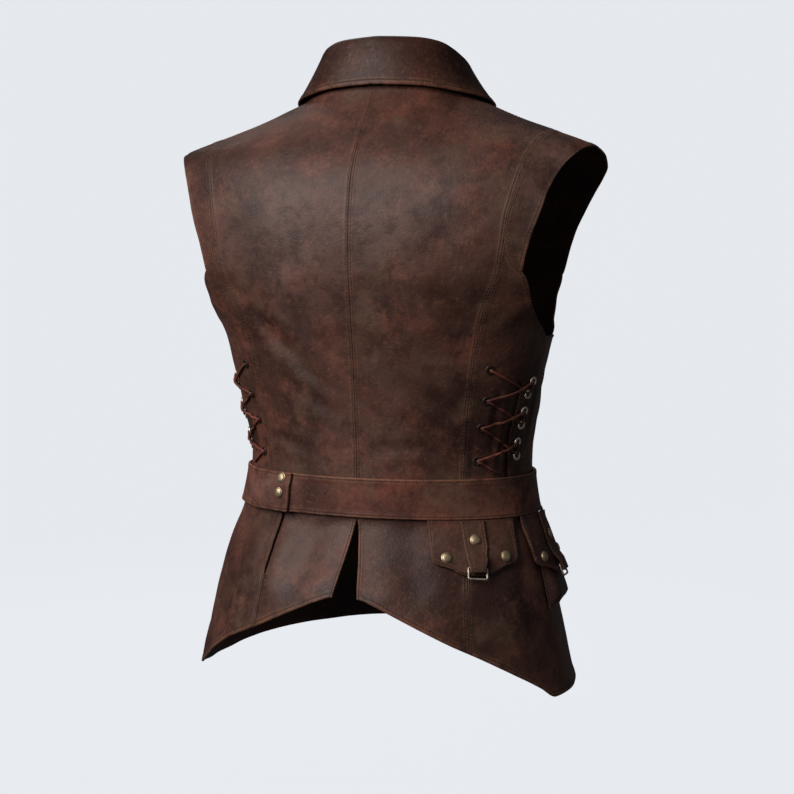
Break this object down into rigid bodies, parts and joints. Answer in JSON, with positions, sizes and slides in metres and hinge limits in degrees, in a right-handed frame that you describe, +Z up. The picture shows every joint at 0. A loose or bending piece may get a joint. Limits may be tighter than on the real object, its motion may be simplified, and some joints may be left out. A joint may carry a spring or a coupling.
{
  "type": "double-breasted leather vest",
  "caption": "Hollow worn-form leather vest with a turned-down collar, laced side panels, a belt, strapped pocket flaps, and a vented skirt that dips to points at the sides.",
  "frame": {"origin": "midway between the neck ends of the two shoulder seams, where the vest hangs on the shoulders", "axes": "+Z up, the vest's front faces -Y, the wearer's left is +X"},
  "size_m": [0.4528, 0.2708, 0.6579],
  "materials": {
    "vest_leather": "worn, soft sheen",
    "belt_leather": "worn, soft sheen",
    "lace_leather": "matt",
    "aged_brass": "aged",
    "pale_metal": "worn"
  },
  "bodies": {
    "root": {"armhole_band_left": "vest_leather", "armhole_band_right": "vest_leather", "back_left": "vest_leather", "back_right": "vest_leather", "belt": "belt_leather", "belt_buckle_frame": "aged_brass", "belt_buckle_prong": "aged_brass", "belt_end_piece": "belt_leather", "belt_rivet_1": "aged_brass", "belt_rivet_2": "aged_brass", "button_left_1": "aged_brass", "button_left_2": "aged_brass", "button_left_3": "aged_brass", "button_right_1": "aged_brass", "button_right_2": "aged_brass", "button_right_3": "aged_brass", "collar_fall": "vest_leather", "collar_stand": "vest_leather", "eyelet_left_1": "aged_brass", "eyelet_left_2": "aged_brass", "eyelet_left_3": "aged_brass", "eyelet_left_4": "aged_brass", "eyelet_left_5": "aged_brass", "eyelet_left_6": "aged_brass", "eyelet_right_1": "aged_brass", "eyelet_right_2": "aged_brass", "eyelet_right_3": "aged_brass", "eyelet_right_4": "aged_brass", "eyelet_right_5": "aged_brass", "eyelet_right_6": "aged_brass", "flap_back": "vest_leather", "flap_side": "vest_leather", "front_left": "vest_leather", "front_right": "vest_leather", "lace_left": "lace_leather", "lace_right": "lace_leather", "lacing_gusset_left": "vest_leather", "lacing_gusset_right": "vest_leather", "lapel_left": "vest_leather", "lapel_right": "vest_leather", "pouch_side": "vest_leather", "rivet_back_fore": "aged_brass", "rivet_back_middle": "aged_brass", "rivet_back_rear": "aged_brass", "rivet_side_fore": "aged_brass", "rivet_side_middle": "aged_brass", "rivet_side_rear": "aged_brass", "side_left": "vest_leather", "side_right": "vest_leather", "strap_back": "vest_leather", "strap_buckle_back": "pale_metal", "strap_buckle_side": "pale_metal", "strap_side": "vest_leather"}
  },
  "joints": []
}
